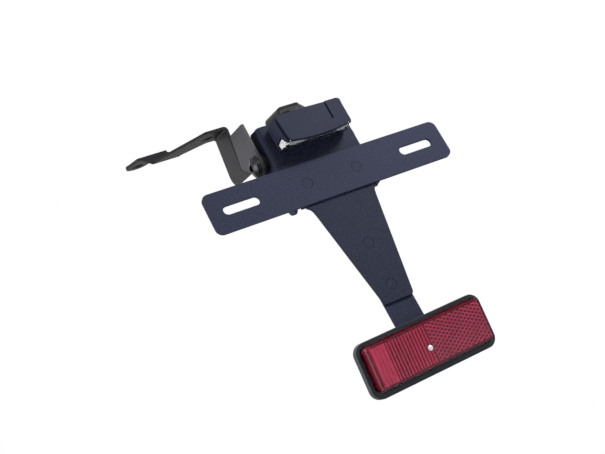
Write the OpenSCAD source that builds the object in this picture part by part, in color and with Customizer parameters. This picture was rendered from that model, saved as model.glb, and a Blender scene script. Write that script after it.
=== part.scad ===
// Motorbike tail tidy: folded main plate with a number plate bar, lamp, reflector and two hanger arms.
// Millimetres. The origin is the middle of the bar's front face, where the number plate is fastened.
// X runs along the bar, Y from the bar's face towards the bike and Z up along the plate.

/* [Number plate bar] */
// Length of the flat bar that carries the number plate
bar_w = 180; // [150:1:230]
// Height of the bar
bar_h = 29.2; // [24:0.2:40]
// Radius of the bar's corners
bar_r = 5; // [2:0.5:10]
// Distance between the centres of the two slots
slot_pitch = 134; // [110:1:150]
// Width of a slot, for an M6 screw
slot_w = 6.5; // [5:0.1:8]
// Full length of a slot
slot_len = 25.8; // [16:0.2:34]
// Distance between the bar's two press-in studs
bar_stud_pitch = 38; // [24:1:50]

/* [Main plate] */
// Thickness of the folded plate, the bar and the reflector strip
sheet_t = 2; // [1.5:0.1:3]
// Width of the head over its two side flanges
head_w = 65; // [60:0.5:80]
// Height of the head's top edge above the middle of the bar
head_top = 50; // [46:0.5:60]
// Outside radius of the side bends
bend_r = 3; // [2.4:0.1:4]
// Half width of the tongue where it leaves the head
tongue_top = 23.2; // [18:0.2:27]
// Half width of the tongue's squared end
tongue_end = 10.8; // [9:0.1:16]
// Depth of the tongue's end below the middle of the bar
tongue_z = 94.3; // [85:0.5:110]
// Lean of the plate from upright, set by the clamped pivot bolt
tilt = 15.5; // [5:0.5:25]

/* [Reflector] */
// Width of the reflector's base
refl_w = 93.6; // [80:0.2:110]
// Height of the reflector's base
refl_h = 36; // [30:0.5:45]
// Depth of the base behind its rim
base_d = 4; // [3:0.2:6]
// How far the lens stands in front of the rim
lens_d = 8.5; // [5:0.5:10]
// Number of upright flutes on the lens
flutes = 13; // [8:1:18]
// Angle between the reflector and the main plate
refl_tilt = 13.5; // [8:0.1:25]
// Turn of the reflector about its rivet, as it was clamped
refl_roll = 1.4; // [0:0.1:3]
// Depth of the reflector's middle below the middle of the bar
refl_z = 127.8; // [120:0.2:140]
// Width of the strip that carries the reflector
strip_w = 21.4; // [16:0.2:24]

/* [Lamp] */
// Width of the lamp across its front
lamp_w = 49; // [42:0.5:56]
// How far the lamp stands in front of the main plate
lamp_d = 18; // [14:0.5:24]
// Height of the lamp's top edge above the middle of the bar
lamp_top = 45.4; // [43:0.2:50]
// Height of the lamp's bottom edge above the middle of the bar
lamp_low = 23.3; // [20:0.2:27]

/* [Arms and hinge] */
// Thickness of the two hanger arms
arm_t = 2; // [1.5:0.1:3]
// Thickness of the hinge plates
hinge_t = 2; // [1.6:0.1:4]
// Distance between the outer faces of the two arms' walls
arm_span = 40.2; // [38:0.2:60]
// Height of the arms' top faces above the pivot
arm_top = 40.5; // [36:0.5:50]
// Length of an arm's wall, front to back
arm_deep = 27; // [20:0.2:30]
// Diameter of the mounting hole in each arm
mount_d = 8.6; // [6.4:0.2:10]
// Distance of a mounting hole from the outer face of its arm's wall
mount_x = 10; // [8:0.2:12]

/* [Fasteners] */
// Nominal diameter of the pivot bolt
pivot_d = 8; // [6:1:10]
// Nominal diameter of the press-in studs
stud_d = 5; // [4:1:6]
// Diameter of the studs' flush heads
stud_head_d = 7; // [6:0.5:9]
// Thickness of the washer under the bolt's head
washer_t = 1.6; // [1:0.1:2]
// Thickness of the thrust washer between an arm and the main plate
thrust_t = 2; // [1:0.1:3]

/* [Hidden] */
$fn = 48;
eps = 0.01;
fit = 0.05;
head_gap = 0.2;
// Radius of the hinge plates' round end.
hinge_r = 8.5;

// Place of the pivot bolt's axis.
pivot_y = 15.1;
pivot_z = 28.9;
// Main plate, front and back faces.
plate_y0 = sheet_t;
plate_y1 = 2 * sheet_t;
half_w = head_w / 2;
in_w = half_w - sheet_t;
strip_y0 = plate_y1;
// Row of places across the pivot bolt.
arm_x = half_w + thrust_t + arm_t;
hinge_x = arm_x + hinge_t;
right_arm_x = arm_span - arm_x;
head_x = hinge_x + washer_t;
// Press-in studs.
bar_stud_z = 0;
strip_stud_z = [-51.9, -83.2];
stud_nut_h = 4;
stud_end = 1.4;
stud_nut_af = 8 * stud_d / 5;
// Lamp.
lamp_front = plate_y0 - lamp_d;
gasket_t = 1;
lamp_back = plate_y0 - gasket_t;
cover_t = 1.8;
lamp_stud_x = 14.5;
lamp_stud_z = 37;
grommet_z = 40;
// The grommet ends short of the hinge plates' front edge.
grommet_end = pivot_y - hinge_r - 0.2;
under_slope = 15.5;
board_w = lamp_w - 11;
board_t = 1.2;
board_z = lamp_low + 14;
// Reflector.
refl_y = 1;
lens_in = 1.6;
pad_t = 1.8;
rivet_x = -2.8;
rivet_z = -2.3;
// Arm.
arm_front = 34;
right_front = 25.6;
joggle_gap = 15;
mount_y = 14.4;
arm_bend = 3.5;
joggle_h = 5;
right_joggle_h = 3.6;
rim_h = 1;
base_drop = 0.6;
pocket_w = refl_w - 4.6;
pocket_h = refl_h - 5.4;
sleeve_d = 10;
sleeve_len = 12;

// The arms' frame: x along the pivot bolt, z square to the arms' top faces.
module pivot_frame() {
    translate([0, pivot_y, pivot_z])
        rotate([tilt, 0, 0])
            children();
}

// The reflector's frame, y 0 on the step that the lens sits in.
module refl_frame() {
    translate([0, refl_y, -refl_z])
        rotate([refl_tilt, 0, 0])
            rotate([0, -refl_roll, 0])
                children();
}

// A drawing in x and z pulled from y0 to y0 + t.
module face_y(y0, t) {
    translate([0, y0 + t, 0])
        rotate([90, 0, 0])
            linear_extrude(t)
                children();
}

// A drawing in y and z pulled from x0 to x0 + t.
module face_x(x0, t) {
    translate([x0, 0, 0])
        rotate([90, 0, 90])
            linear_extrude(t)
                children();
}

// Round bar along x.
module rod_x(x0, len, d) {
    translate([x0, 0, 0])
        rotate([0, 90, 0])
            cylinder(h = len, d = d);
}

// Round bar along y.
module rod_y(x, y0, z, len, d) {
    translate([x, y0, z])
        rotate([-90, 0, 0])
            cylinder(h = len, d = d);
}

// Rectangle with round corners about the middle.
module round_rect(w, h, r) {
    square([w - 2 * r, h], center = true);
    square([w, h - 2 * r], center = true);
    for (sx = [-1, 1], sz = [-1, 1])
        translate([sx * (w / 2 - r), sz * (h / 2 - r)])
            circle(r);
}

// Slot along x about the middle.
module slot(len, w) {
    square([len - w, w], center = true);
    for (sx = [-1, 1])
        translate([sx * (len - w) / 2, 0])
            circle(d = w);
}

// What a round corner of radius r takes away at the corner of a square; the material lies at +x +y.
module corner_cut(r) {
    difference() {
        translate([-1, -1])
            square([r + 1, r + 1]);
        translate([r, r])
            circle(r);
    }
}

// Hexagon with its flats across x.
module hexagon(af) {
    rotate(30)
        circle(r = af / 2 / cos(30), $fn = 6);
}

// Quarter ring of a bend from radius ri to ro in the +x +y quarter.
module bend_ring(ri, ro) {
    intersection() {
        difference() {
            circle(ro);
            circle(ri);
        }
        square(ro + 1);
    }
}

// Outline of a side flange in y and z.
module flange_outline(hole) {
    difference() {
        union() {
            polygon([[plate_y0 + bend_r, -5.3],
                     [plate_y0 + bend_r, head_top],
                     [14, head_top + 2.4],
                     [24.6, head_top - 4],
                     [24.6, pivot_z],
                     [19.2, -5.3]]);
            translate([11.2, -5.3])
                circle(8);
            translate([pivot_y, pivot_z])
                circle(9.5);
        }
        translate([pivot_y, pivot_z])
            circle(d = hole);
        translate([11.2, -5.3])
            circle(d = 6.4);
    }
}

// Flat front of the main plate: head, shoulders and the tapered tongue.
module plate_outline() {
    flat = half_w - bend_r;
    fillet = 6.5;
    fx = tongue_top + fillet;
    difference() {
        union() {
            polygon([[-flat, -5.3], [-flat, head_top], [flat, head_top], [flat, -5.3]]);
            polygon([[-fx - 0.4, -bar_h / 2 - 0.3], [-fx - 0.4, 0], [fx + 0.4, 0], [fx + 0.4, -bar_h / 2 - 0.3]]);
            polygon([[-tongue_end, -tongue_z], [-tongue_top - 0.9, -bar_h / 2 - 0.3],
                     [tongue_top + 0.9, -bar_h / 2 - 0.3], [tongue_end, -tongue_z]]);
            for (sx = [-1, 1])
                translate([sx * (tongue_top + 0.6), -bar_h / 2 - 0.3 - fillet / 2])
                    square([fillet - 0.4, fillet], center = true);
        }
        for (sx = [-1, 1])
            translate([sx * fx, -bar_h / 2 - 0.3 - fillet])
                circle(fillet);
        for (sx = [-1, 1])
            translate([sx * (fx + fillet / 2 + 0.4), -bar_h / 2 - 0.3 - fillet * 0.9])
                square([fillet, fillet * 1.8], center = true);
        translate([-tongue_end, -tongue_z])
            corner_cut(1.6);
        mirror([1, 0])
            translate([-tongue_end, -tongue_z])
                corner_cut(1.6);
        for (sx = [-1, 1])
            translate([sx * bar_stud_pitch / 2, bar_stud_z])
                circle(d = stud_d + 0.5);
        for (z = strip_stud_z)
            translate([0, z])
                circle(d = stud_d + 2 * fit);
        for (sx = [-1, 1])
            translate([sx * lamp_stud_x, lamp_stud_z])
                circle(d = stud_d + 0.5);
        translate([0, grommet_z])
            circle(d = 8);
    }
}

module main_plate() {
    color("#3c3e4e")
        difference() {
            union() {
                face_y(plate_y0, sheet_t)
                    plate_outline();
                for (m = [0, 1])
                    mirror([m, 0, 0]) {
                        face_x(in_w, sheet_t)
                            flange_outline(m == 0 ? sleeve_d + 0.4 : pivot_d + 0.4);
                        translate([half_w - bend_r, plate_y0 + bend_r, -5.3])
                            linear_extrude(head_top + 5.3)
                                mirror([0, 1])
                                    bend_ring(bend_r - sheet_t, bend_r);
                    }
            }
            for (z = strip_stud_z)
                rod_y(0, plate_y0 - 1, z, 1 + 1.2 + fit, stud_head_d + 2 * head_gap);
        }
}

module number_plate_bar() {
    color("#464a5c")
        difference() {
            face_y(0, sheet_t)
                difference() {
                    round_rect(bar_w, bar_h, bar_r);
                    for (sx = [-1, 1])
                        translate([sx * slot_pitch / 2, 0])
                            slot(slot_len, slot_w);
                    for (sx = [-1, 1])
                        translate([sx * bar_stud_pitch / 2, bar_stud_z])
                            circle(d = stud_d + 2 * fit);
                }
            for (sx = [-1, 1])
                rod_y(sx * bar_stud_pitch / 2, -1, bar_stud_z, 1 + 1.2 + fit, stud_head_d + 2 * head_gap);
        }
}

// Press-in stud with a flush head, its head face at y0, through two sheets and a nut.
module stud(x, y0, z) {
    rod_y(x, y0 + 0.05, z, 1.15, stud_head_d);
    rod_y(x, y0 + 0.05, z, 2 * sheet_t + stud_nut_h + stud_end - 0.05, stud_d);
}

// Nut with a washer face, from y0 back.
module stud_nut(x, y0, z) {
    difference() {
        union() {
            face_y(y0 + 0.4, stud_nut_h - 0.4)
                translate([x, z])
                    hexagon(stud_nut_af);
            rod_y(x, y0, z, 0.5, stud_nut_af * 0.94);
        }
        rod_y(x, y0 - 1, z, stud_nut_h + 2, stud_d + 2 * fit);
    }
}

module bar_studs() {
    color("#50546a")
        for (sx = [-1, 1])
            stud(sx * bar_stud_pitch / 2, 0, bar_stud_z);
}

module bar_nuts() {
    color("#8d9096")
        for (sx = [-1, 1])
            stud_nut(sx * bar_stud_pitch / 2, plate_y1, bar_stud_z);
}

module strip_studs() {
    color("#474a5c")
        for (z = strip_stud_z)
            stud(0, plate_y0, z);
}

module strip_nuts() {
    color("#8d9096")
        for (z = strip_stud_z)
            stud_nut(0, strip_y0 + sheet_t, z);
}

// Side view of the strip: straight behind the tongue, then bent to lie on the reflector's pad.
module strip_profile() {
    pad = base_d + pad_t;
    v = (refl_y + pad * cos(refl_tilt) - strip_y0) / sin(refl_tilt);
    cy = strip_y0;
    cz = -refl_z + pad * sin(refl_tilt) + v * cos(refl_tilt);
    translate([strip_y0, cz])
        square([sheet_t, -44 - cz]);
    translate([cy, cz])
        rotate(refl_tilt) {
            translate([0, -v - 14])
                square([sheet_t, v + 14]);
        }
    translate([cy, cz])
        intersection() {
            circle(sheet_t);
            polygon([[0, 0], [2 * sheet_t, 0],
                     [2 * sheet_t * cos(refl_tilt), 2 * sheet_t * sin(refl_tilt)]]);
        }
}

module reflector_strip() {
    color("#383b49")
        difference() {
            face_x(-strip_w / 2, strip_w)
                strip_profile();
            for (z = strip_stud_z)
                rod_y(0, strip_y0 - 1, z, sheet_t + 2, stud_d + 0.5);
            refl_frame()
                rod_y(rivet_x, 0, rivet_z, 12, 3.3);
        }
}

module reflector_base() {
    color("#22292c")
        refl_frame()
            difference() {
                union() {
                    face_y(-rim_h, base_d + rim_h)
                        translate([0, -base_drop])
                            round_rect(refl_w, refl_h, 7);
                    face_y(base_d - eps, pad_t + eps)
                        translate([0, -6])
                            square([26, 20], center = true);
                }
                face_y(-rim_h - 1, 1 + rim_h + lens_in + fit)
                    round_rect(pocket_w, pocket_h, 4.7);
                rod_y(rivet_x, -1, rivet_z, 12, 3.3);
            }
}

module reflector_lens() {
    w = pocket_w - 0.2;
    h = pocket_h - 0.2;
    face_w = w - 5.8;
    face_h = h - 4.4;
    flute_w = face_w * 0.35 / flutes;
    color("#8e1a30")
        refl_frame()
            difference() {
                union() {
                    face_y(0.4, lens_in - 0.4)
                        round_rect(w, h, 4.6);
                    intersection() {
                        face_y(1.6 - lens_d, lens_d - 0.6)
                            round_rect(w - 1.6, h - 1.2, 4.4);
                        translate([0, 0, -h])
                            linear_extrude(2 * h)
                                polygon([[-w / 2 + 0.8, 1], [-w / 2 + 2.4, 1.6 - lens_d],
                                         [w / 2 - 2.4, 1.6 - lens_d], [w / 2 - 0.8, 1]]);
                        face_x(-w, 2 * w)
                            polygon([[1, -h / 2 + 0.6], [1.6 - lens_d, -h / 2 + 1.6],
                                     [1.6 - lens_d, h / 2 - 1.6], [1, h / 2 - 0.6]]);
                    }
                    face_y(-lens_d, 2)
                        round_rect(face_w, face_h, 2.8);
                }
                for (i = [0 : flutes - 1])
                    translate([-face_w * 0.36 + i * flute_w, -lens_d - 0.12, -face_h / 2 + 1])
                        cylinder(h = face_h - 2, r = 0.42, $fn = 16);
                rod_y(rivet_x, -lens_d - 1, rivet_z, 12, 3.3);
            }
}

module reflector_rivet() {
    back = base_d + pad_t + sheet_t;
    color("#e9e9e6")
        refl_frame()
            translate([rivet_x, -lens_d, rivet_z])
                rotate([-90, 0, 0])
                    rotate_extrude()
                        polygon([[0, -0.7], [1.1, -0.6], [1.7, -0.25], [1.7, 0], [1.5, 0],
                                 [1.5, lens_d + back], [2.6, lens_d + back], [2.4, lens_d + back + 1.1],
                                 [0, lens_d + back + 1.1]]);
}

// Front view of the lamp: sides that narrow downwards, a bowed bottom and rounded corners.
module lamp_view(grow, low) {
    top_half = lamp_w / 2 + grow;
    low_half = lamp_w / 2 - 2.2 + 1.5 * grow;
    bow = 118;
    difference() {
        intersection() {
            polygon([[-low_half, lamp_low - 4], [low_half, lamp_low - 4],
                     [top_half, lamp_top + grow], [-top_half, lamp_top + grow]]);
            translate([0, low + bow])
                circle(bow, $fn = 180);
        }
        translate([-top_half, lamp_top + grow])
            rotate(-90)
                corner_cut(3.2);
        mirror([1, 0])
            translate([-top_half, lamp_top + grow])
                rotate(-90)
                    corner_cut(3.2);
        translate([-low_half - 0.1, low + 1.8])
            rotate(4)
                corner_cut(2.2);
        mirror([1, 0])
            translate([-low_half - 0.1, low + 1.8])
                rotate(4)
                    corner_cut(2.2);
    }
}

// Lamp as a whole block: front view, plan that widens to the back, underside that rises to the back.
module lamp_block(y0, y1) {
    intersection() {
        face_y(y0, y1 - y0)
            lamp_view(1.6, lamp_low);
        translate([0, 0, lamp_low - 8])
            linear_extrude(40)
                polygon([[-lamp_w / 2, lamp_front], [-lamp_w / 2 - 0.6, lamp_front + cover_t],
                         [-lamp_w / 2 - 1.6, lamp_back], [lamp_w / 2 + 1.6, lamp_back],
                         [lamp_w / 2 + 0.6, lamp_front + cover_t], [lamp_w / 2, lamp_front]]);
        face_x(-lamp_w, 2 * lamp_w)
            lamp_side();
    }
}

// Side view of the lamp in y and z.
module lamp_side() {
    rise = tan(under_slope);
    polygon([[lamp_front, lamp_top], [lamp_back, lamp_top + 1],
             [lamp_back, lamp_low + (lamp_back - lamp_front) * rise],
             [lamp_front + 3.2, lamp_low + 3.2 * rise - 0.4],
             [lamp_front, lamp_low - 2]]);
}

// Side view of the clear lens: the underside and a window that climbs up each end.
module lens_side(gap) {
    rise = tan(under_slope);
    polygon([[lamp_front + 2.4 - gap, lamp_low - 3],
             [lamp_front + 2.4 - gap, lamp_low + 1.2],
             [lamp_front + 5.9 - gap, lamp_low + 8.7 + gap],
             [lamp_back - 2 + gap, lamp_low + 8.7 + gap],
             [lamp_back - 2 + gap, lamp_low - 3]]);
}

module lamp_body() {
    color("#26282f")
        difference() {
            lamp_block(lamp_front + cover_t, lamp_back);
            translate([0, 0, 0])
                face_x(-lamp_w, 2 * lamp_w)
                    lens_side(0.1);
            translate([-lamp_w / 2 + 3, lamp_front + cover_t - 1, lamp_low + 7])
                cube([lamp_w - 6, lamp_d - cover_t - gasket_t - 1.5, lamp_top - lamp_low - 10]);
            for (sx = [-1, 1])
                rod_y(sx * lamp_stud_x, lamp_back - 6, lamp_stud_z, 8, stud_d + 2 * fit);
            rod_y(0, lamp_back - 6, grommet_z, 8, 5.4);
        }
}

module lamp_cover() {
    slant = 3;
    color("#2b2d36")
        difference() {
            intersection() {
                face_y(lamp_front, cover_t - 0.05)
                    lamp_view(0, lamp_low);
                face_x(-lamp_w, 2 * lamp_w)
                    lamp_side();
            }
            face_x(-lamp_w, 2 * lamp_w)
                lens_side(0.1);
            translate([13.2, lamp_front + 0.75, lamp_low + 8.2])
                rotate([0, 0, 180 + slant])
                    cube([24, 4, lamp_top]);
            translate([12.8, lamp_front - 1, lamp_low + 8.2])
                cube([0.7, 1 + cover_t - 0.5, 12]);
        }
}

module lamp_lens() {
    wall = 2;
    color("#dfe6ea", 0.5)
        intersection() {
            lamp_block(lamp_front + cover_t + 0.1, lamp_back);
            face_x(-lamp_w, 2 * lamp_w)
                lens_side(0);
            difference() {
                translate([-lamp_w, -40, 0])
                    cube([2 * lamp_w, 60, 80]);
                translate([-lamp_w / 2 + 3.8, lamp_front + 6.4, 0])
                    rotate([under_slope, 0, 0])
                        translate([0, -10, lamp_low + 5.6])
                            cube([lamp_w - 7.6, 30, 40]);
            }
        }
}

// Board above the lens that carries the light-emitting diodes.
module lamp_board() {
    color("#1d4a2c")
        translate([-board_w / 2, lamp_front + cover_t + 3, board_z])
            cube([board_w, 6, board_t]);
}

module lamp_leds() {
    color("#f2edd0")
        for (i = [-1 : 1])
            translate([i * board_w * 0.316 - 2, lamp_front + cover_t + 4, board_z - 1.6])
                cube([4, 4, 1.6]);
}

module lamp_gasket() {
    color("#15161a")
        difference() {
            face_y(lamp_back, gasket_t)
                difference() {
                    translate([0, 37.2])
                        round_rect(lamp_w - 1, 15, 3);
                    for (sx = [-1, 1])
                        translate([sx * lamp_stud_x, lamp_stud_z])
                            circle(d = stud_d + 2 * fit);
                    translate([0, grommet_z])
                        circle(d = 8);
                }
        }
}

module lamp_studs() {
    color("#9a9ca2")
        for (sx = [-1, 1])
            rod_y(sx * lamp_stud_x, lamp_back - 5.5, lamp_stud_z,
                  5.5 + gasket_t + sheet_t + stud_nut_h + stud_end, stud_d);
}

module lamp_nuts() {
    color("#8d9096")
        for (sx = [-1, 1])
            stud_nut(sx * lamp_stud_x, plate_y1, lamp_stud_z);
}

// Rubber outlet where the lamp's wires would leave at the back of the head.
module lamp_grommet() {
    color("#131316")
        translate([0, 0, grommet_z])
            rotate([-90, 0, 0])
                rotate_extrude()
                    polygon([[1.6, lamp_back - 5], [2.6, lamp_back - 5], [2.6, lamp_back],
                             [3.9, lamp_back + 0.1], [3.9, plate_y1], [4.7, plate_y1 + 0.1],
                             [4.7, plate_y1 + 1.4], [3.2, grommet_end], [1.6, grommet_end]]);
}

// Hinge plate from x 0 to its thickness: front edge along the main plate, round end about the pivot.
module hinge_plate() {
    r = hinge_r;
    top = 30.8;
    fx = -r * cos(tilt) + (top - r * sin(tilt)) * tan(tilt);
    difference() {
        union() {
            rod_x(0, hinge_t, 2 * r);
            face_x(0, hinge_t)
                polygon([[-r * cos(tilt) + 0.02, r * sin(tilt) - 1.5], [-r * cos(tilt) + 0.02, r * sin(tilt)],
                         [fx + 0.02, top], [25.2, top], [28.1, 6.4], [9, -2.4], [5, -4]]);
        }
        rod_x(-1, hinge_t + 2, pivot_d + 0.4);
    }
}

module left_hinge_plate() {
    color("#55575f")
        pivot_frame()
            translate([-hinge_x, 0, 0])
                hinge_plate();
}

module right_hinge_plate() {
    color("#55575f")
        pivot_frame()
            translate([right_arm_x, 0, 0])
                hinge_plate();
}

// Wall of an arm in y and z: foot round the pivot bolt, straight underside, round heel.
module arm_wall(front) {
    back = front + arm_deep;
    low = 0.5;
    heel = 10;
    top = arm_top - arm_bend;
    difference() {
        union() {
            circle(7.6);
            polygon([[0, -7.55], [20, low], [back - heel, low], [back - heel, low + heel],
                     [back, low + heel], [back, top], [front, top], [front, 6.4],
                     [0, 7.55]]);
            translate([back - heel, low + heel])
                circle(heel);
        }
        circle(d = pivot_d + 0.4);
    }
}

// Top flange of an arm in x and y, x from the bend outwards: seat with the mounting hole, then the
// strip that leads to the joggle.
module arm_flange(front) {
    back = front + arm_deep;
    fold = back + joggle_gap;
    difference() {
        union() {
            polygon([[0, front], [12.5, front], [14.6, front + 1.4], [19.4, front + 8.6],
                     [43.6, fold], [22.6, fold],
                     [9.2, back + 2.6], [6, back], [0, back]]);
            translate([12.5, front + 2.1])
                circle(2.1);
        }
        translate([mount_x - arm_bend + arm_t, front + mount_y])
            circle(d = mount_d);
    }
}

// Tab beyond the joggle, with a round end and a hole for a turn signal's stem.
module arm_tab(fold) {
    difference() {
        union() {
            translate([50.7, fold + 17.2])
                circle(8.6);
            polygon([[53.6, fold], [31, fold], [42.7, fold + 20.6],
                     [50.7, fold + 17.2], [59.2, fold + 16.1]]);
        }
        translate([50.7, fold + 17])
            circle(d = 8.5);
    }
}

// An arm whose flange points to +x, with the outer face of its wall at x 0.
module arm(front, joggle_h) {
    back = front + arm_deep;
    fold = back + joggle_gap;
    face_x(-arm_t, arm_t)
        arm_wall(front);
    translate([arm_bend - arm_t, back, arm_top - arm_bend])
        rotate([90, 0, 0])
            linear_extrude(back - front)
                mirror([1, 0])
                    bend_ring(arm_bend - arm_t, arm_bend);
    translate([arm_bend - arm_t, 0, 0]) {
        translate([0, 0, arm_top - arm_t])
            linear_extrude(arm_t)
                arm_flange(front);
        face_y(fold - eps, arm_t)
            polygon([[22.6, arm_top - arm_t], [24, arm_top],
                     [31, arm_top + joggle_h - 1.2], [53.6, arm_top + joggle_h],
                     [46.6, arm_top], [43.6, arm_top - arm_t]]);
        translate([0, 0, arm_top + joggle_h - arm_t])
            linear_extrude(arm_t)
                arm_tab(fold);
    }
}

module left_arm() {
    color("#37383d")
        pivot_frame()
            translate([-arm_x, 0, 0])
                mirror([1, 0, 0])
                    arm(arm_front, joggle_h);
}

module right_arm() {
    color("#37383d")
        pivot_frame()
            translate([right_arm_x, 0, 0])
                arm(right_front, right_joggle_h);
}

// Low button head standing on x 0 and pointing to -x, with its hexagon socket.
module button_head() {
    head_d = pivot_d * 1.75;
    head_h = pivot_d * 0.42;
    difference() {
        rotate([0, -90, 0])
            rotate_extrude()
                intersection() {
                    square([head_d / 2, head_h]);
                    translate([0, head_h - head_d * 0.8])
                        circle(head_d * 0.8);
                }
        translate([-head_h - 1, 0, 0])
            rotate([0, 90, 0])
                linear_extrude(1 + head_h * 0.7)
                    circle(r = pivot_d * 0.3125 / cos(30), $fn = 6);
    }
}

// Long screw that clamps the whole row.
module pivot_bolt() {
    color("#8a8c92")
        pivot_frame() {
            translate([-head_x, 0, 0])
                button_head();
            rod_x(-head_x - eps, head_x + half_w + washer_t - 0.4 + eps, pivot_d);
        }
}

module washer(x0, t, od) {
    difference() {
        rod_x(x0, t, od);
        rod_x(x0 - 1, t + 2, pivot_d + 0.4);
    }
}

module pivot_washers() {
    color("#1a1b1e")
        pivot_frame() {
            washer(-head_x, washer_t, 15.4);
            washer(-half_w - thrust_t, thrust_t, 12.4);
            difference() {
                rod_x(half_w, washer_t, 15.4);
                rod_x(half_w - 1, washer_t + 2, sleeve_d + 0.4);
            }
        }
}

module left_spacer() {
    color("#6d7078")
        pivot_frame()
            difference() {
                rod_x(-in_w, in_w + right_arm_x - arm_t, 12);
                rod_x(-in_w - 1, in_w + right_arm_x + 1, pivot_d + 0.4);
            }
}

module right_spacer() {
    start = right_arm_x + hinge_t;
    color("#6d7078")
        pivot_frame()
            difference() {
                rod_x(start, in_w - start, 14);
                rod_x(start - 1, in_w - start + 2, sleeve_d + 0.4);
            }
}

// Sleeve nut with the same button head on the far side; its sleeve runs in the right spacer.
module pivot_nut() {
    start = half_w + washer_t;
    color("#8a8c92")
        pivot_frame() {
            translate([start, 0, 0])
                mirror([1, 0, 0])
                    button_head();
            difference() {
                rod_x(start - sleeve_len, sleeve_len + eps, sleeve_d);
                rod_x(start - sleeve_len - 1, sleeve_len + 0.8, pivot_d + 2 * fit);
            }
        }
}

main_plate();
number_plate_bar();
bar_studs();
bar_nuts();
reflector_strip();
strip_studs();
strip_nuts();
reflector_base();
reflector_lens();
reflector_rivet();
lamp_body();
lamp_cover();
lamp_lens();
lamp_board();
lamp_leds();
lamp_gasket();
lamp_studs();
lamp_nuts();
lamp_grommet();
left_hinge_plate();
right_hinge_plate();
left_arm();
right_arm();
pivot_bolt();
pivot_washers();
left_spacer();
right_spacer();
pivot_nut();
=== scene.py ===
"""Looks for a motorbike tail tidy.

Coats, plastics and the optics of reflector and lamp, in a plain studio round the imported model.
"""

import math

import bmesh
import bpy
from bpy.props import FloatProperty, FloatVectorProperty, IntProperty, PointerProperty
from bpy.types import Operator, Panel, PropertyGroup
from mathutils import Matrix, Vector


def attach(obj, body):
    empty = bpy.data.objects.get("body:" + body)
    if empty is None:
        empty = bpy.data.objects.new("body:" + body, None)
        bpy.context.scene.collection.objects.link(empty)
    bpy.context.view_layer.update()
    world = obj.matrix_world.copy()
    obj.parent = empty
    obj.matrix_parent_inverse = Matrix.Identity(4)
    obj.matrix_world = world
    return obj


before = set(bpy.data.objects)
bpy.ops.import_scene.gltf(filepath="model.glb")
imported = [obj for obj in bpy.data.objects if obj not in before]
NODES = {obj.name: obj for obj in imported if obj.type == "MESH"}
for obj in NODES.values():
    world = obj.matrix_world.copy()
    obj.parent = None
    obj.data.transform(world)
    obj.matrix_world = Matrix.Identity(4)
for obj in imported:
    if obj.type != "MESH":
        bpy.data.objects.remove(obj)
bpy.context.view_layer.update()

bl_info = {
    "name": "Tail Tidy Looks",
    "version": (1, 0, 0),
    "blender": (4, 5, 0),
    "location": "View3D > Sidebar > Tail Tidy",
    "description": "Dresses the packed tail tidy with its coats, plastics and optics",
    "category": "Object",
}

MM = 0.001

# Place of the reflector in the part's source, where y 0 is the step that its lens sits in.
REFLECTOR_Y = 1 * MM
REFLECTOR_Z = -127.8 * MM
REFLECTOR_TILT = math.radians(13.5)
REFLECTOR_ROLL = math.radians(-1.4)
REFLECTOR = (
    Matrix.Translation((0, REFLECTOR_Y, REFLECTOR_Z))
    @ Matrix.Rotation(REFLECTOR_TILT, 4, "X")
    @ Matrix.Rotation(REFLECTOR_ROLL, 4, "Y")
)
# Stands a drawing in x and y up in x and z, with its z towards the viewer at -y.
STAND = Matrix.Rotation(math.radians(90), 4, "X")

# Reflector optics: clear of the face's edge, clear of the next pattern, and the depth of their backs.
FACE_MARGIN = 0.0008
BAND_MARGIN = 0.0011
PATTERN_GAP = 0.0002
OPTICS_BACK = 0.0024
# Dark ground behind the flutes and strips, which paints the shade in their gaps, as heights from their
# highest line.
GROUND_LOW = -0.0036
GROUND_HIGH = -0.0025
# Two rims of the lens's side wall: half width, half height and height above the step.
SKIRT_FOOT = (0.04345, 0.01445, -0.0006)
SKIRT_HEAD = (0.0418, 0.0134, 0.0064)
SKIRT_CORNER = 0.0036
SKIRT_THICKNESS = 0.0006

# Lean of the ribs, which hang upside down behind the lamp's leaning underside.
RIB_LEAN = math.radians(180 + 15.5)
# Middle of the ribs behind the underside of the clear lens.
RIB_X = 0.0158
RIB_Y = -10.2 * MM
RIB_Z = 26.4 * MM

# The camera that was fitted to the photograph: its place and its three axes.
CAMERA_PLACE = (-0.28235, -0.53147, -0.22603)
CAMERA_RIGHT = (0.86374, -0.23173, -0.44750)
CAMERA_UP = (0.31038, -0.45496, 0.83467)
CAMERA_BACK = (-0.39701, -0.85983, -0.32104)

# Sockets of a Mix node that mixes colours. Those of its other types have the same names.
MIX_FACTOR, MIX_A, MIX_B, MIX_RESULT = 0, 6, 7, 2
# Most of a noise's factor lies between these.
NOISE_LOW, NOISE_HIGH = 0.3, 0.7
# Points nearer than this are merged.
MERGE = 2e-6


def colour_prop(name, description, default):
    return FloatVectorProperty(
        name=name, description=description, subtype="COLOR", size=3, min=0, max=1, default=default
    )


class CoatSettings(PropertyGroup):
    plate: colour_prop("Plate", "Colour of the main plate and the reflector strip", (0.015, 0.018, 0.037))
    bar: colour_prop("Bar", "Colour of the number plate bar", (0.024, 0.028, 0.056))
    arms: colour_prop("Arms", "Colour of the two hanger arms", (0.0095, 0.0095, 0.012))
    # The hinge plates have the arms' black coat; this lighter colour is painted light on their lit outer
    # faces.
    hinge: colour_prop("Hinge plates", "Colour of the two hinge plates", (0.044, 0.044, 0.052))
    grain: FloatProperty(
        name="Grain", description="Size of the powder coat's grain", unit="LENGTH", default=0.0007, min=0.0001
    )
    edge: FloatProperty(
        name="Edge", description="Radius of the coated edges", unit="LENGTH", default=0.0004, min=0
    )


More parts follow.
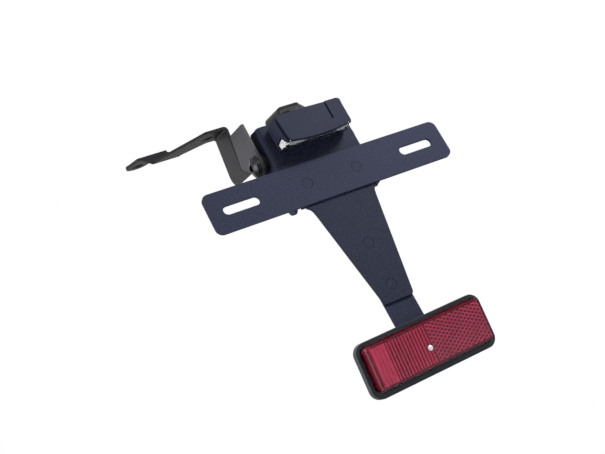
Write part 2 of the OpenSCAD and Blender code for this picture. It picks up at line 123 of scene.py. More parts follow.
class ReflectorSettings(PropertyGroup):
    flutes: IntProperty(name="Flutes", description="Number of upright flutes", default=13, min=2)
    flute_first: FloatProperty(
        name="First flute", description="Left edge of the first flute", unit="LENGTH", default=-0.02988
    )
    flute_pitch: FloatProperty(
        name="Flute pitch",
        description="Distance between two flutes",
        unit="LENGTH",
        default=0.002235,
        min=0.001,
    )
    cell: FloatProperty(
        name="Cell",
        description="Width of a cube corner across its flats",
        unit="LENGTH",
        default=0.0026,
        min=0.001,
    )
    face_w: FloatProperty(
        name="Face width", description="Width of the lens's face", unit="LENGTH", default=0.083, min=0.02
    )
    face_h: FloatProperty(
        name="Face height", description="Height of the lens's face", unit="LENGTH", default=0.026, min=0.01
    )
    front: FloatProperty(
        name="Optics",
        description="How far the optics stand in front of the step",
        unit="LENGTH",
        default=0.0081,
    )
    light: colour_prop("Light red", "Colour of the flutes and cube corners", (0.76, 0.082, 0.205))
    # Painted shade: the dark ground that shows in the gaps between the flutes.
    gap_shade: colour_prop("Deep red", "Colour of the ground under the flutes", (0.10, 0.003, 0.014))
    # Painted shade in the depths of the cube corners.
    pit_shade: colour_prop("Pits", "Colour in the depth of the cube corners", (0.13, 0.012, 0.035))
    lens: colour_prop("Lens", "Tint of the clear red lens", (0.92, 0.45, 0.60))
    skirt: colour_prop("Wall", "Colour of the lens's side walls", (0.26, 0.004, 0.035))
    band_ribs: IntProperty(
        name="Band strips", description="Number of wide strips left of the flutes", default=4, min=1
    )


class LampSettings(PropertyGroup):
    shell: colour_prop("Shell", "Colour of the lamp's body and cover", (0.018, 0.022, 0.050))
    ribs: IntProperty(
        name="Ribs", description="Number of bright ribs under each half of the lens", default=3, min=1
    )
    teeth: IntProperty(
        name="Teeth", description="Number of bright teeth behind each end window", default=5, min=2
    )
    rib_pitch: FloatProperty(
        name="Rib pitch", description="Distance between two ribs", unit="LENGTH", default=0.0021, min=0.001
    )


class StageSettings(PropertyGroup):
    key: FloatProperty(
        name="Key", description="Power of the soft lamp at the front right", unit="POWER", default=2.6
    )
    fill: FloatProperty(
        name="Fill", description="Power of the soft lamp on the left", unit="POWER", default=3.8
    )
    top: FloatProperty(name="Top", description="Power of the wide lamp overhead", unit="POWER", default=60.0)
    ambient: FloatProperty(name="Ambient", description="Strength of the room's light", default=0.06, min=0)
    floor: colour_prop("Floor", "Colour of the floor", (0.82, 0.82, 0.82))
    floor_z: FloatProperty(
        name="Floor height", description="Height of the floor", unit="LENGTH", default=-0.31
    )
    lens: FloatProperty(
        name="Lens", description="Focal length on a 36 mm sensor, in millimetres", default=57.96
    )


class Recipe:
    """A new node material: adds nodes and joins them by name."""

    def __init__(self, name):
        self.material = bpy.data.materials.new(name)
        self.material.use_nodes = True
        self.tree = self.material.node_tree
        self.tree.nodes.clear()
        self.out = self.add("ShaderNodeOutputMaterial")
        self.bsdf = self.add("ShaderNodeBsdfPrincipled")
        self.join(self.bsdf, "BSDF", self.out, "Surface")
        self.place = self.add("ShaderNodeTexCoord")

    def add(self, kind, **inputs):
        node = self.tree.nodes.new(kind)
        for name, value in inputs.items():
            node.inputs[name.replace("_", " ")].default_value = value
        return node

    def join(self, a, a_name, b, b_name):
        self.tree.links.new(a.outputs[a_name], b.inputs[b_name])

    def set(self, **inputs):
        for name, value in inputs.items():
            self.bsdf.inputs[name.replace("_", " ")].default_value = value

    def noise(self, size, detail=2.0, stretch=None):
        """Noise whose blotches are about size metres across."""
        node = self.add("ShaderNodeTexNoise", Scale=1 / size, Detail=detail)
        if stretch:
            mapping = self.add("ShaderNodeMapping")
            mapping.inputs["Scale"].default_value = stretch
            self.join(self.place, "Object", mapping, "Vector")
            self.join(mapping, "Vector", node, "Vector")
        else:
            self.join(self.place, "Object", node, "Vector")
        return node

    def ranged(self, node, output, low, high, to_low, to_high):
        """A value's range mapped onto another one."""
        out = self.add(
            "ShaderNodeMapRange", From_Min=low, From_Max=high, To_Min=to_low, To_Max=to_high
        )
        self.join(node, output, out, "Value")
        return out, "Result"

    def spread(self, noise, to_low, to_high):
        """A noise's usual range mapped onto another one."""
        return self.ranged(noise, "Fac", NOISE_LOW, NOISE_HIGH, to_low, to_high)

    def mixed(self, factor, a, b):
        """Mix of two colours, each a colour or (node, output), by a factor (node, output)."""
        node = self.tree.nodes.new("ShaderNodeMix")
        node.data_type = "RGBA"
        node.clamp_factor = True
        for value, k in ((a, MIX_A), (b, MIX_B)):
            if isinstance(value[0], bpy.types.Node):
                self.tree.links.new(value[0].outputs[value[1]], node.inputs[k])
            else:
                node.inputs[k].default_value = (*value, 1)
        self.tree.links.new(factor[0].outputs[factor[1]], node.inputs[MIX_FACTOR])
        return node, MIX_RESULT

    def clouded(self, noise, colour, low, high):
        """A colour that goes from low to high times its lightness with a noise."""
        return self.mixed(self.spread(noise, 0, 1), shade(colour, low), shade(colour, high))

    def colour(self, mix):
        self.tree.links.new(mix[0].outputs[mix[1]], self.bsdf.inputs["Base Color"])

    def roughness(self, noise, low, high):
        self.join(*self.spread(noise, low, high), self.bsdf, "Roughness")

    def relief(self, node, strength, height, radius=0.0):
        """Bump from a node's factor, over edges rounded by radius. Returns the rounding node."""
        bump = self.add("ShaderNodeBump", Strength=strength, Distance=height)
        self.join(node, "Fac", bump, "Height")
        rounding = None
        if radius:
            rounding = self.add("ShaderNodeBevel", Radius=radius)
            rounding.samples = 4
            self.join(rounding, "Normal", bump, "Normal")
        self.join(bump, "Normal", self.bsdf, "Normal")
        return rounding

    def edge_mask(self, rounding, low, high):
        """1 on an edge and 0 on flat metal, by the cosine between rounded and true normal."""
        normal = self.add("ShaderNodeNewGeometry")
        dot = self.add("ShaderNodeVectorMath")
        dot.operation = "DOT_PRODUCT"
        self.tree.links.new(rounding.outputs["Normal"], dot.inputs[0])
        self.tree.links.new(normal.outputs["Normal"], dot.inputs[1])
        return self.ranged(dot, "Value", high, low, 0.0, 1.0)


def shade(colour, k):
    return tuple(min(1.0, c * k) for c in colour)


def powder_coat(name, colour, grain, edge, rough=0.6, gloss=0.16, edge_wear_and_highlight_gain=2.6):
    """Fine-textured powder coat: mottled, a little orange peel, and paler over an edge, partly where the coat
    thins and partly as a painted highlight.
    """
    r = Recipe(name)
    cloud = r.noise(0.028, 3.0)
    mottle = r.noise(grain * 1.1, 2.0)
    peel = r.noise(grain, 3.0)
    base = r.clouded(cloud, colour, 0.93, 1.06)
    speck = r.mixed(r.ranged(mottle, "Fac", 0.46, 0.68, 0, 0.9), base, shade(colour, 2.7))
    rounding = r.relief(peel, 0.9, grain * 0.25, edge)
    # Edges are painted lighter: partly the thinner coat, partly a painted highlight along each edge.
    thin_coat_and_highlight_mask = r.edge_mask(rounding, 0.86, 0.995)
    r.colour(r.mixed(thin_coat_and_highlight_mask, speck, shade(colour, edge_wear_and_highlight_gain)))
    r.roughness(mottle, rough - 0.05, rough + 0.07)
    r.set(Specular_IOR_Level=gloss)
    return r.material


def moulded(name, colour, rough, grain=0.0006, edge=0.0003, gloss=0.4, relief=0.12, uneven=0.1):
    """Moulded plastic or rubber with a faint texture and softened edges."""
    r = Recipe(name)
    fine = r.noise(grain, 2.0)
    r.colour(r.clouded(r.noise(0.016, 3.0), colour, 1 - uneven, 1 + uneven))
    r.relief(fine, relief, grain * 0.08, edge)
    r.roughness(fine, rough - 0.04, rough + 0.05)
    r.set(Specular_IOR_Level=gloss)
    return r.material


def bare_metal(name, colour, rough, stretch=(1, 1, 1), grain=0.0005, edge=0.0002, metallic=1.0):
    """Plated or blackened steel with fine tooling marks and uneven plating."""
    r = Recipe(name)
    marks = r.noise(grain, 2.0, stretch)
    r.colour(r.clouded(r.noise(0.003, 3.0), colour, 0.8, 1.15))
    r.relief(marks, 0.15, grain * 0.1, edge)
    r.roughness(marks, rough * 0.8, rough * 1.25)
    r.set(Metallic=metallic)
    return r.material


def clear_plastic(name, colour, rough, ior=1.49, edge=0.0004):
    """See-through moulded plastic with the faint waves of a mould."""
    r = Recipe(name)
    wave = r.noise(0.012, 1.0)
    r.colour(r.mixed((wave, "Fac"), colour, shade(colour, 0.97)))
    r.relief(wave, 0.03, 0.0001, edge)
    r.roughness(wave, rough * 0.7, rough * 1.3)
    r.set(Transmission_Weight=1.0, IOR=ior)
    return r.material


def painted_light_plastic(name, dark, light, rough):
    """Glossy moulded plastic whose faces carry painted light and shade, mixed from a dark to a light colour.
    """
    r = Recipe(name)
    painted_light = r.add("ShaderNodeAttribute")
    painted_light.attribute_name = "painted_light"
    face = r.mixed((painted_light, "Fac"), dark, light)
    r.colour(r.mixed(r.spread(r.noise(0.006, 2.0), 0, 0.25), face, shade(dark, 1.3)))
    r.relief(r.noise(0.0006), 0.05, 0.00004)
    r.set(Roughness=rough, Specular_IOR_Level=0.6)
    return r.material


def dress(material, *names):
    for name in names:
        for place in NODES[name].material_slots:
            place.material = material


def add_tree(name, inputs):
    """An empty Geometry Nodes tree; returns it, its input node, output node and inputs' identifiers."""
    tree = bpy.data.node_groups.new(name, "GeometryNodeTree")
    tree.interface.new_socket(name="Geometry", in_out="OUTPUT", socket_type="NodeSocketGeometry")
    tree.interface.new_socket(name="Geometry", in_out="INPUT", socket_type="NodeSocketGeometry")
    ids = {}
    for label, kind in inputs:
        ids[label] = tree.interface.new_socket(name=label, in_out="INPUT", socket_type=kind).identifier
    return tree, tree.nodes.new("NodeGroupInput"), tree.nodes.new("NodeGroupOutput"), ids


def geo(tree, kind, **settings):
    node = tree.nodes.new(kind)
    for name, value in settings.items():
        setattr(node, name, value)
    return node


def math_of(tree, operation, a, b):
    """Math node on two values, each a socket or a number."""
    node = geo(tree, "ShaderNodeMath", operation=operation)
    for k, value in enumerate((a, b)):
        if isinstance(value, (int, float)):
            node.inputs[k].default_value = value
        else:
            tree.links.new(value, node.inputs[k])
    return node.outputs[0]


def baked(name, tree, ids, values):
    """Runs a tree on an empty host and returns its result as a plain mesh."""
    host = bpy.data.objects.new(name + "_host", bpy.data.meshes.new(name + "_host"))
    bpy.context.scene.collection.objects.link(host)
    modifier = host.modifiers.new("build", "NODES")
    modifier.node_group = tree
    for label, value in values.items():
        modifier[ids[label]] = value
    bpy.context.view_layer.update()
    result = host.evaluated_get(bpy.context.evaluated_depsgraph_get())
    mesh = bpy.data.meshes.new_from_object(result)
    bpy.data.objects.remove(host)
    if not mesh.polygons:
        raise RuntimeError(name + ": the tree made no faces")
    return mesh


def placed(name, mesh, material, matrix=None):
    """Makes a piece of a mesh, in one material, and moves the mesh itself to its place."""
    if matrix is not None:
        mesh.transform(matrix)
    mesh.materials.clear()  # a tree that makes several copies leaves an empty first slot
    mesh.materials.append(material)
    mesh.name = name
    piece = bpy.data.objects.new(name, mesh)
    bpy.context.scene.collection.objects.link(piece)
    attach(piece, "root")


def mesh_of(name, bm):
    """A mesh of what a bmesh holds, which is freed."""
    mesh = bpy.data.meshes.new(name)
    bm.to_mesh(mesh)
    bm.free()
    return mesh


def pattern_object(name, points, faces):
    """A small shape that a tree repeats, off the scene's render."""
    mesh = bpy.data.meshes.new(name)
    mesh.from_pydata(points, [], faces)
    mesh.update()
    shape = bpy.data.objects.new(name, mesh)
    bpy.context.scene.collection.objects.link(shape)
    return shape


def row_tree():
    """Repeats a shape along x."""
    tree, source, out, ids = add_tree(
        "row_of_ribs",
        [
            ("Count", "NodeSocketInt"),
            ("First", "NodeSocketFloat"),
            ("Pitch", "NodeSocketFloat"),
            ("Shape", "NodeSocketObject"),
        ],
    )
    line = geo(tree, "GeometryNodeMeshLine")
    start = geo(tree, "ShaderNodeCombineXYZ")
    step = geo(tree, "ShaderNodeCombineXYZ")
    info = geo(tree, "GeometryNodeObjectInfo")
    copies = geo(tree, "GeometryNodeInstanceOnPoints")
    real = geo(tree, "GeometryNodeRealizeInstances")
    link = tree.links.new
    link(source.outputs["Count"], line.inputs["Count"])
    link(source.outputs["First"], start.inputs["X"])
    link(source.outputs["Pitch"], step.inputs["X"])
    link(start.outputs[0], line.inputs["Start Location"])
    link(step.outputs[0], line.inputs["Offset"])
    link(source.outputs["Shape"], info.inputs["Object"])
    link(line.outputs["Mesh"], copies.inputs["Points"])
    link(info.outputs["Geometry"], copies.inputs["Instance"])
    link(copies.outputs[0], real.inputs[0])
    link(real.outputs[0], out.inputs[0])
    return tree, ids


def row_of(name, outline, count, first, pitch):
    """Mesh of one shape repeated along x."""
    shape = pattern_object(name + "_shape", *outline)
    tree, ids = row_tree()
    mesh = baked(name, tree, ids, {"Count": count, "First": first, "Pitch": pitch, "Shape": shape})
    bpy.data.objects.remove(shape)
    return mesh


def honeycomb_tree():
    """Covers a rectangle with six-sided cells, one shape above the middle line and another below it."""
    tree, source, out, ids = add_tree(
        "honeycomb",
        [
            ("Columns", "NodeSocketInt"),
            ("Rows", "NodeSocketInt"),
            ("Cell", "NodeSocketFloat"),
            ("Middle", "NodeSocketFloat"),
            ("Upper shape", "NodeSocketObject"),
            ("Lower shape", "NodeSocketObject"),
        ],
    )
    link = tree.links.new
    cell = source.outputs["Cell"]
    column = math_of(tree, "MULTIPLY", cell, math.sqrt(3) / 2)
    wide = math_of(tree, "MULTIPLY", column, math_of(tree, "SUBTRACT", source.outputs["Columns"], 1))
    high = math_of(tree, "MULTIPLY", cell, math_of(tree, "SUBTRACT", source.outputs["Rows"], 1))
    grid = geo(tree, "GeometryNodeMeshGrid")
    link(wide, grid.inputs["Size X"])
    link(high, grid.inputs["Size Y"])
    link(source.outputs["Columns"], grid.inputs["Vertices X"])
    link(source.outputs["Rows"], grid.inputs["Vertices Y"])
    position = geo(tree, "GeometryNodeInputPosition")
    split = geo(tree, "ShaderNodeSeparateXYZ")
    link(position.outputs[0], split.inputs[0])
    from_left = math_of(tree, "ADD", split.outputs["X"], math_of(tree, "MULTIPLY", wide, 0.5))
    number = math_of(tree, "ROUND", math_of(tree, "DIVIDE", from_left, column), 0)
    odd = math_of(tree, "MODULO", number, 2)  # 1 in every second column, which lies half a cell higher
    offset = geo(tree, "ShaderNodeCombineXYZ")
    link(source.outputs["Middle"], offset.inputs["X"])
    link(math_of(tree, "MULTIPLY", math_of(tree, "MULTIPLY", odd, cell), 0.5), offset.inputs["Y"])
    moved = geo(tree, "GeometryNodeSetPosition")
    link(grid.outputs["Mesh"], moved.inputs["Geometry"])
    link(offset.outputs[0], moved.inputs["Offset"])
    place = geo(tree, "GeometryNodeInputPosition")
    height = geo(tree, "ShaderNodeSeparateXYZ")
    link(place.outputs[0], height.inputs[0])
    upper = geo(tree, "FunctionNodeCompare", data_type="FLOAT", operation="GREATER_THAN")
    lower = geo(tree, "FunctionNodeCompare", data_type="FLOAT", operation="LESS_EQUAL")
    both = geo(tree, "GeometryNodeJoinGeometry")
    just_above_middle = 1e-5
    for test, shape in ((upper, "Upper shape"), (lower, "Lower shape")):
        link(height.outputs["Y"], test.inputs[0])
        test.inputs[1].default_value = just_above_middle
        info = geo(tree, "GeometryNodeObjectInfo")
        link(source.outputs[shape], info.inputs["Object"])
        copies = geo(tree, "GeometryNodeInstanceOnPoints")
        link(moved.outputs[0], copies.inputs["Points"])
        link(test.outputs[0], copies.inputs["Selection"])
        link(info.outputs["Geometry"], copies.inputs["Instance"])
        link(copies.outputs[0], both.inputs[0])
    real = geo(tree, "GeometryNodeRealizeInstances")
    link(both.outputs[0], real.inputs[0])
    link(real.outputs[0], out.inputs[0])
    return tree, ids


def corner_cell(name, cell, lean):
    """Six-sided cell: a rim round a shallow cup of three facets, with painted light and shade on its faces.
    Lean says which rim sides get the painted shade.
    """
    radius = cell / math.sqrt(3)
    cup_radius, cup_depth, rim_drop = 0.68 * radius, 0.32 * radius, 0.03 * radius
    # Painted light and shade: lit rim sides, shaded rim sides, and cup facets painted dark towards the pit's
    # shade.
    bright, shaded_level, facet_shades = 1.0, 0.62, (0.10, 0.0, 0.22)
    shaded_sides, first_facet = ((2, 5), 0) if lean > 0 else ((0, 3), 1)
    ring = [(math.cos(math.radians(60 * k)), math.sin(math.radians(60 * k))) for k in range(6)]
    points = [(0, 0, -cup_depth)]
    points += [(cup_radius * x, cup_radius * y, -rim_drop) for x, y in ring]
    points += [(radius * x, radius * y, 0) for x, y in ring]
    faces, painted_light_levels = [], []
    for k in range(6):
        after = (k + 1) % 6
        faces.append((7 + k, 7 + after, 1 + after, 1 + k))
        painted_light_levels.append(shaded_level if k in shaded_sides else bright)
    for k in range(6):
        faces.append((0, 1 + k, 1 + (k + 1) % 6))
        painted_light_levels.append(facet_shades[(k + first_facet) // 2 % 3])
    cup = pattern_object(name, points, faces)
    layer = cup.data.attributes.new("painted_light", "FLOAT", "FACE")
    layer.data.foreach_set("value", painted_light_levels)
    return cup


def closed_relief(mesh, low, high, back):
    """Trims an open relief to a rectangle in x and y, and closes it with sides and a flat back."""
    bm = bmesh.new()
    bm.from_mesh(mesh)
    bmesh.ops.remove_doubles(bm, verts=bm.verts, dist=MERGE)
    for axis in (0, 1):
        for limit, way in ((low[axis], -1), (high[axis], 1)):
            at, normal = [0, 0, 0], [0, 0, 0]
            at[axis], normal[axis] = limit, way
            everything = bm.verts[:] + bm.edges[:] + bm.faces[:]
            bmesh.ops.bisect_plane(bm, geom=everything, plane_co=at, plane_no=normal, clear_outer=True)
    bmesh.ops.remove_doubles(bm, verts=bm.verts, dist=MERGE)
    rim = [e for e in bm.edges if e.is_boundary]
    made = bmesh.ops.extrude_edge_only(bm, edges=rim)["geom"]
    foot = [v for v in made if isinstance(v, bmesh.types.BMVert)]
    for v in foot:
        v.co.z = back
    bmesh.ops.remove_doubles(bm, verts=foot, dist=MERGE)
    bmesh.ops.holes_fill(bm, edges=[e for e in bm.edges if e.is_boundary], sides=0)
    bmesh.ops.recalc_face_normals(bm, faces=bm.faces)
    bm.to_mesh(mesh)
    bm.free()


def rib_outline(width, height, length, base, steps=6):
    """A long rib along y with a round crest, closed at both ends."""
    section = [(-width / 2, -base)]
    for k in range(steps + 1):
        angle = math.pi - math.pi * k / steps
        section.append((width / 2 * math.cos(angle), -height + height * math.sin(angle)))
    section.append((width / 2, -base))
    n = len(section)
    points = [(x, -length / 2, z) for x, z in section] + [(x, length / 2, z) for x, z in section]
    faces = [tuple(range(n)), tuple(reversed(range(n, 2 * n)))]
    for k in range(n):
        faces.append(((k + 1) % n, k, n + k, n + (k + 1) % n))
    return points, faces


def rounded(half_w, half_h, r, z, steps=6):
    """Points round a rectangle with round corners, in x and y."""
    points = []
    for k, (sx, sy) in enumerate(((1, 1), (-1, 1), (-1, -1), (1, -1))):
        for i in range(steps + 1):
            angle = math.radians(90 * k + 90 * i / steps)
            x = sx * (half_w - r) + r * math.cos(angle)
            y = sy * (half_h - r) + r * math.sin(angle)
            points.append((x, y, z))
    return points


def slab(bm, low, high):
    """Adds a plain closed block between two opposite corners."""
    made = bmesh.ops.create_cube(bm, size=1.0)["verts"]
    for v in made:
        for axis in range(3):
            v.co[axis] = low[axis] if v.co[axis] < 0 else high[axis]


class TIDY_OT_coat_metal(Operator):
    """Powder coat the plate, the bar, the strip, the arms and the hinge plates"""

    bl_idname = "tidy.coat_metal"
    bl_label = "Coat the sheet metal"

    def execute(self, context):
        s = context.scene.tidy_coats
        arm_coat = powder_coat("arm_coat", s.arms, s.grain, s.edge, rough=0.5, gloss=0.2, edge_wear_and_highlight_gain=2.2)
        # Painted light: the hinge plates get a lighter copy of the arms' coat.
        hinge_coat_painted_lighter = powder_coat("hinge_coat_painted_lighter", s.hinge, s.grain, s.edge, rough=0.5, gloss=0.3, edge_wear_and_highlight_gain=2.0)
        dress(powder_coat("plate_coat", s.plate, s.grain, s.edge), "main_plate")
        # The strip has the plate's own coat, painted 1.3 times lighter to stand in for the light it gets:
        # painted light.
        dress(powder_coat("strip_coat_painted_lighter", shade(s.plate, 1.3), s.grain, s.edge), "reflector_strip")
        dress(powder_coat("bar_coat", s.bar, s.grain, s.edge), "number_plate_bar")
        dress(arm_coat, "left_arm", "right_arm")
        dress(hinge_coat_painted_lighter, "left_hinge_plate", "right_hinge_plate")
        # The flush heads are coated with their sheet and differ from it only a little.
        head_edge = s.edge * 0.5
        dress(powder_coat("stud_coat", shade(s.bar, 0.96), s.grain, head_edge), "bar_studs")
        dress(powder_coat("strip_stud_coat", shade(s.plate, 1.03), s.grain, head_edge), "strip_studs")
        return {"FINISHED"}


class TIDY_OT_finish_fasteners(Operator):
    """Give the bolt, nuts, studs, spacers and washers their metal or nylon"""

    bl_idname = "tidy.finish_fasteners"
    bl_label = "Finish the fasteners"

    def execute(self, context):
        zinc = bare_metal("zinc_plate", (0.50, 0.51, 0.50), rough=0.32)
        black = bare_metal("black_steel", (0.036, 0.036, 0.042), rough=0.24)
        turned = bare_metal("spacer_steel", (0.30, 0.31, 0.33), rough=0.4, stretch=(0.2, 2, 2))
        nylon = moulded("washer_nylon", (0.012, 0.012, 0.014), rough=0.4)
        dress(zinc, "bar_nuts", "strip_nuts", "lamp_nuts", "lamp_studs")
        dress(black, "pivot_bolt", "pivot_nut")
        dress(turned, "left_spacer", "right_spacer")
        dress(nylon, "pivot_washers")
        return {"FINISHED"}


class TIDY_OT_build_lamp(Operator):
    """Finish the lamp's plastics and add the bright ribs and teeth behind its clear lens"""

    bl_idname = "tidy.build_lamp"
    bl_label = "Build the lamp's optics"

    def execute(self, context):
        s = context.scene.tidy_lamp
        shell = moulded("lamp_shell", s.shell, rough=0.6, edge=0.0006, gloss=0.18, relief=0.5)
        dress(shell, "lamp_body", "lamp_cover")
        dress(clear_plastic("lamp_clear", (0.97, 0.98, 0.99), rough=0.03, ior=1.45), "lamp_lens")
        dress(moulded("lamp_rubber", (0.014, 0.014, 0.016), rough=0.6), "lamp_gasket", "lamp_grommet")
        dress(moulded("board_lacquer", (0.01, 0.06, 0.022), rough=0.3), "lamp_board")
        dress(moulded("led_resin", (0.85, 0.80, 0.55), rough=0.35), "lamp_leds")
        frost = bare_metal(
            "lamp_frost", (0.95, 0.96, 0.98), rough=0.14, grain=0.0008, edge=0.0, metallic=0.8
        )
        self.ribs(s, frost)
        for side in (-1, 1):
            self.window(side, s.teeth, frost)
        return {"FINISHED"}

    def ribs(self, s, frost):
        """Rows of ribs along x behind the lens's leaning underside, crests down."""
        width, height, base = s.rib_pitch * 0.9, 0.0008, 0.0010
        turn = Matrix.Rotation(RIB_LEAN, 4, "X") @ Matrix.Rotation(math.radians(90), 4, "Z")
        for name, x, length, count, first in (
            ("left_lamp_ribs", -RIB_X, 0.0134, s.ribs, -0.0008),
            ("right_lamp_ribs", RIB_X, 0.0134, s.ribs, -0.0008),
            ("lamp_front_rib", 0.0, 0.0420, 1, -0.0027),
        ):
            mesh = row_of(name, rib_outline(width, height, length, base), count, first, s.rib_pitch)
            placed(name, mesh, frost, Matrix.Translation((x, RIB_Y, RIB_Z)) @ turn)

    def window(self, side, teeth, frost):
        """Upright teeth behind one end of the clear lens, whose slopes face forward and outward."""
        front, back = -12.6, -2.0
        low, top = 24.9, 31.2
        back_x, slope_starts, slope_ends = 22.8, 23.45, 24.15
        tooth_share = 0.98
        foot_rise, head_rise, head_start = 0.30, 2.1, 0.8
        step = (back - front) / teeth
        bm = bmesh.new()
        for k in range(teeth):
            ends = []
            for share, slope_x in ((0.0, slope_starts), (tooth_share, slope_ends)):
                y = front + (k + share) * step
                foot = low + (y - front) * foot_rise
                head = min(top, low + head_start + (y - front) * head_rise)
                corners = ((back_x, foot), (slope_x, foot), (slope_x, head), (back_x, head))
                ends.append([bm.verts.new((side * x, y, z)) for x, z in corners])
            near, far = ends
            bm.faces.new(near)
            bm.faces.new(far)
            for i in range(4):
                bm.faces.new((near[i], near[(i + 1) % 4], far[(i + 1) % 4], far[i]))
        bmesh.ops.scale(bm, vec=(MM, MM, MM), verts=bm.verts)
        bmesh.ops.recalc_face_normals(bm, faces=bm.faces)
        name = ("left" if side < 0 else "right") + "_lamp_window"
        placed(name, mesh_of(name, bm), frost)


class TIDY_OT_build_reflector(Operator):
    """Finish the reflector and add the flutes, strips and cube corners under its lens"""

    bl_idname = "tidy.build_reflector"
    bl_label = "Build the reflector's optics"

    def execute(self, context):
        s = context.scene.tidy_reflector
        black = moulded(
            "reflector_black", (0.026, 0.034, 0.042), rough=0.4, grain=0.0005, edge=0.0004, gloss=0.3
        )
        bright = bare_metal(
            "rivet_bright", (0.96, 0.95, 0.93), rough=0.38, grain=0.0006, edge=0.0003, metallic=0.6
        )
        dress(black, "reflector_base")
        dress(clear_plastic("lens_red", s.lens, rough=0.06, edge=0.0), "reflector_lens")
        dress(bright, "reflector_rivet")
        place = REFLECTOR @ STAND @ Matrix.Translation((0, 0, s.front))
        self.flutes(s, place)
        self.cube_corners(s, place)
        self.skirt(s)
        return {"FINISHED"}

    def flutes(self, s, place):
        """Upright flutes, the wide strips left of them and a dark ground behind both, which paints the shade
        in their gaps.
        """
        length = s.face_h - 2 * FACE_MARGIN
        left, right = -s.face_w / 2 + BAND_MARGIN, s.face_w / 2 - BAND_MARGIN

        outline = rib_outline(s.flute_pitch * 0.54, 0.0005, length, OPTICS_BACK)
        first = s.flute_first + s.flute_pitch / 2
        mesh = row_of("reflector_flutes", outline, s.flutes, first, s.flute_pitch)
        red = moulded("flute_red", s.light, rough=0.18, grain=0.0007, edge=0.0, gloss=0.6, relief=0.05)
        placed("reflector_flutes", mesh, red, place)

        width = (s.flute_first - PATTERN_GAP - left) / s.band_ribs
        outline = rib_outline(width * 0.94, 0.0002, length, OPTICS_BACK, steps=10)
        mesh = row_of("reflector_band", outline, s.band_ribs, left + width / 2, width)
        band_colour = shade(s.light, 0.95)
        band = moulded("band_red", band_colour, rough=0.3, grain=0.0009, edge=0.0, gloss=0.5, relief=0.3)
        placed("reflector_band", mesh, band, place)

        # A dark red sheet behind the flutes and strips, which paints the shade in their gaps.
        bm = bmesh.new()
        half_h = length / 2 - PATTERN_GAP
        slab(bm, (left, -half_h, GROUND_LOW), (right, half_h, GROUND_HIGH))
        gap_shade = moulded("gap_shade_red", s.gap_shade, rough=0.3, grain=0.0009, edge=0.0, gloss=0.5, relief=0.1)
        placed("reflector_ground", mesh_of("reflector_ground", bm), gap_shade, place)

    def cube_corners(self, s, place):
        """Honeycomb of small cups with painted light and shade, from the last flute to the right edge."""
        low = s.flute_first + s.flutes * s.flute_pitch + PATTERN_GAP
        high = s.face_w / 2 - FACE_MARGIN
        half_h = s.face_h / 2 - FACE_MARGIN
        # A few cells more than the face needs, which the trim takes off.
        columns = int((high - low) / (s.cell * math.sqrt(3) / 2)) + 4
        rows = int(s.face_h / s.cell) + 3
        upper = corner_cell("upper_cell", s.cell, 1)
        lower = corner_cell("lower_cell", s.cell, -1)
        tree, ids = honeycomb_tree()
        values = {
            "Columns": columns,
            "Rows": rows,
            "Cell": s.cell,
            "Middle": (low + high) / 2,
            "Upper shape": upper,
            "Lower shape": lower,
        }
        mesh = baked("reflector_prisms", tree, ids, values)
        bpy.data.objects.remove(upper)
        bpy.data.objects.remove(lower)
        closed_relief(mesh, (low, -half_h), (high, half_h), -OPTICS_BACK)
        red = painted_light_plastic("corner_red", s.pit_shade, s.light, rough=0.2)
        placed("reflector_prisms", mesh, red, place)

    def skirt(self, s):
        """Deep red wall just inside the lens's sides."""
        bm = bmesh.new()
        loops = []
        for inset in (0.0, SKIRT_THICKNESS):
            for half_w, half_h, z in (SKIRT_FOOT, SKIRT_HEAD):
                ring = rounded(half_w - inset, half_h - inset, SKIRT_CORNER - inset, z)
                loops.append([bm.verts.new(p) for p in ring])
        outer_foot, outer_head, inner_foot, inner_head = loops
        around = (outer_foot, outer_head, inner_head, inner_foot, outer_foot)
        for a, b in zip(around, around[1:]):
            for k in range(len(a)):
                after = (k + 1) % len(a)
                bm.faces.new((a[k], a[after], b[after], b[k]))
        bmesh.ops.recalc_face_normals(bm, faces=bm.faces)
        wall = moulded("skirt_red", s.skirt, rough=0.22, grain=0.0009, edge=0.0, gloss=0.6, relief=0.05)
        placed("reflector_skirt", mesh_of("reflector_skirt", bm), wall, REFLECTOR @ STAND)


def soft_lamp(name, power, size, place, target):
    """A round area lamp that faces its target."""
    data = bpy.data.lights.new(name, "AREA")
    data.shape = "DISK"
    data.size = size
    data.energy = power
    lamp = bpy.data.objects.new(name, data)
    lamp.location = place
    lamp.rotation_euler = (Vector(target) - Vector(place)).to_track_quat("-Z", "Y").to_euler()
    bpy.context.scene.collection.objects.link(lamp)


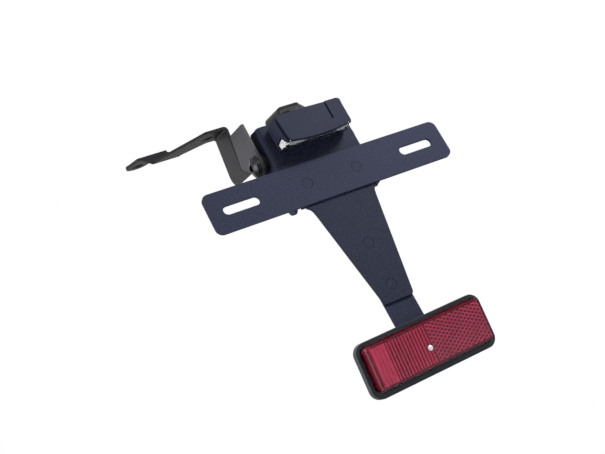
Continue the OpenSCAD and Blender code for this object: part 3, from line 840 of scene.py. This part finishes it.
class TIDY_OT_set_stage(Operator):
    """Add the pale floor, the soft lamps, the white room and the camera"""

    bl_idname = "tidy.set_stage"
    bl_label = "Set the stage"

    def execute(self, context):
        s = context.scene.tidy_stage
        scene = context.scene
        scene.view_settings.view_transform = "Standard"
        self.room(scene, s.ambient)
        bm = bmesh.new()
        bmesh.ops.create_circle(bm, cap_ends=True, segments=64, radius=4.0)
        mesh = mesh_of("floor", bm)
        mesh.transform(Matrix.Translation((0, 0, s.floor_z)))
        paint = moulded(
            "floor_paint", s.floor, rough=0.8, grain=0.004, edge=0.0, gloss=0.1, relief=0.01, uneven=0.004
        )
        mesh.materials.append(paint)
        floor = bpy.data.objects.new("floor", mesh)
        scene.collection.objects.link(floor)
        soft_lamp("key_lamp", s.key, size=0.2, place=(0.31, -0.47, 0.26), target=(0, 0.02, -0.02))
        soft_lamp("side_lamp", s.fill, size=0.6, place=(-1.05, 0.18, 0.10), target=(0, 0.02, 0.0))
        soft_lamp("top_lamp", s.top, size=4.0, place=(0.0, 0.1, 3.0), target=(0, 0.1, 0))
        self.camera(scene, s.lens)
        return {"FINISHED"}

    def room(self, scene, ambient):
        """White for the camera, gloss and glass, and dimmer for the light that falls on matt surfaces."""
        world = bpy.data.worlds.new("room")
        scene.world = world
        world.use_nodes = True
        tree = world.node_tree
        tree.nodes.clear()
        path = tree.nodes.new("ShaderNodeLightPath")
        backgrounds = []
        for strength in (ambient, 1.0):
            background = tree.nodes.new("ShaderNodeBackground")
            background.inputs["Color"].default_value = (1, 1, 1, 1)
            background.inputs["Strength"].default_value = strength
            backgrounds.append(background)
        light, seen = backgrounds
        camera_or_gloss = math_of(
            tree, "MAXIMUM", path.outputs["Is Camera Ray"], path.outputs["Is Glossy Ray"]
        )
        direct = math_of(tree, "MAXIMUM", camera_or_gloss, path.outputs["Is Transmission Ray"])
        mix = tree.nodes.new("ShaderNodeMixShader")
        out = tree.nodes.new("ShaderNodeOutputWorld")
        link = tree.links.new
        link(direct, mix.inputs[0])
        link(light.outputs[0], mix.inputs[1])
        link(seen.outputs[0], mix.inputs[2])
        link(mix.outputs[0], out.inputs[0])

    def camera(self, scene, lens):
        data = bpy.data.cameras.new("camera")
        data.sensor_width = 36.0
        data.lens = lens
        data.clip_start = 0.01
        data.clip_end = 20.0
        camera = bpy.data.objects.new("camera", data)
        scene.collection.objects.link(camera)
        turn = Matrix((CAMERA_RIGHT, CAMERA_UP, CAMERA_BACK)).transposed().to_4x4()
        camera.matrix_world = Matrix.Translation(CAMERA_PLACE) @ turn
        scene.camera = camera


class TIDY_PT_looks(Panel):
    bl_idname = "TIDY_PT_looks"
    bl_label = "Tail Tidy"
    bl_space_type = "VIEW_3D"
    bl_region_type = "UI"
    bl_category = "Tail Tidy"

    def draw(self, context):
        layout = self.layout
        scene = context.scene
        for group, operator in (
            (scene.tidy_coats, "tidy.coat_metal"),
            (None, "tidy.finish_fasteners"),
            (scene.tidy_lamp, "tidy.build_lamp"),
            (scene.tidy_reflector, "tidy.build_reflector"),
            (scene.tidy_stage, "tidy.set_stage"),
        ):
            box = layout.box()
            if group is not None:
                for name in group.__annotations__:
                    box.prop(group, name)
            box.operator(operator)


CLASSES = (
    CoatSettings,
    ReflectorSettings,
    LampSettings,
    StageSettings,
    TIDY_OT_coat_metal,
    TIDY_OT_finish_fasteners,
    TIDY_OT_build_lamp,
    TIDY_OT_build_reflector,
    TIDY_OT_set_stage,
    TIDY_PT_looks,
)


def register():
    for cls in CLASSES:
        bpy.utils.register_class(cls)
    bpy.types.Scene.tidy_coats = PointerProperty(type=CoatSettings)
    bpy.types.Scene.tidy_reflector = PointerProperty(type=ReflectorSettings)
    bpy.types.Scene.tidy_lamp = PointerProperty(type=LampSettings)
    bpy.types.Scene.tidy_stage = PointerProperty(type=StageSettings)


def unregister():
    for name in ("tidy_coats", "tidy_reflector", "tidy_lamp", "tidy_stage"):
        delattr(bpy.types.Scene, name)
    for cls in reversed(CLASSES):
        bpy.utils.unregister_class(cls)


def main():
    register()
    bpy.ops.tidy.coat_metal()
    bpy.ops.tidy.finish_fasteners()
    bpy.ops.tidy.build_lamp()
    bpy.ops.tidy.build_reflector()
    bpy.ops.tidy.set_stage()


if __name__ == "__main__":
    main()
